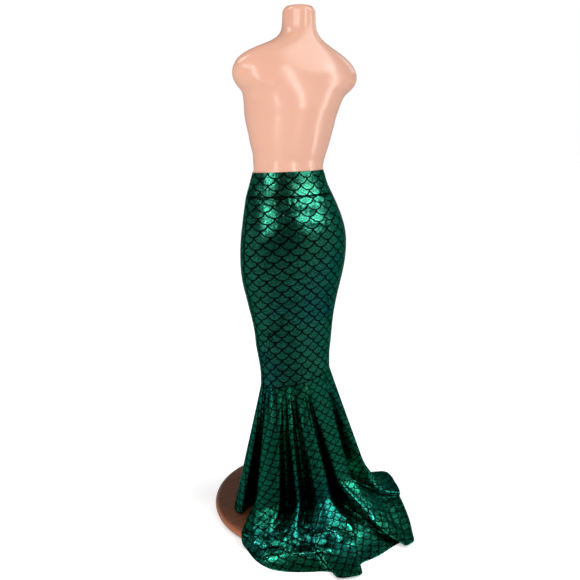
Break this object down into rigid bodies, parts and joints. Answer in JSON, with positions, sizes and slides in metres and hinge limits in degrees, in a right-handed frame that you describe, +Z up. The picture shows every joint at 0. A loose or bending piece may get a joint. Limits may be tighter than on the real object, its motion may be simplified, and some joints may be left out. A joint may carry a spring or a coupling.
{
  "type": "mermaid fishtail skirt on a limbless dress form",
  "caption": "High-waist mermaid skirt of metallic green scale-print foil fabric with a folded flare and swept train, draped on a smooth limbless dress form with a wooden base.",
  "frame": {"origin": "centre of the round base's underside, on the floor", "axes": "+Z up along the pole, -Y towards the form's front, +Y towards its back and the train, +X towards the wearer's left side"},
  "size_m": [0.6148, 0.644, 1.496],
  "materials": {
    "waistband_foil": "metallic foil print",
    "pencil_front_foil": "metallic foil print",
    "pencil_back_foil": "metallic foil print",
    "flare_front_foil": "metallic foil print",
    "flare_back_foil": "metallic foil print",
    "torso_skin": "satin gloss",
    "pole_metal": "brushed",
    "base_wood": "varnished"
  },
  "bodies": {
    "root": {"waistband": "waistband_foil", "pencil_front": "pencil_front_foil", "pencil_back": "pencil_back_foil", "flare_front": "flare_front_foil", "flare_back": "flare_back_foil", "form_torso": "torso_skin", "form_pole": "pole_metal", "form_base": "base_wood"}
  },
  "joints": []
}
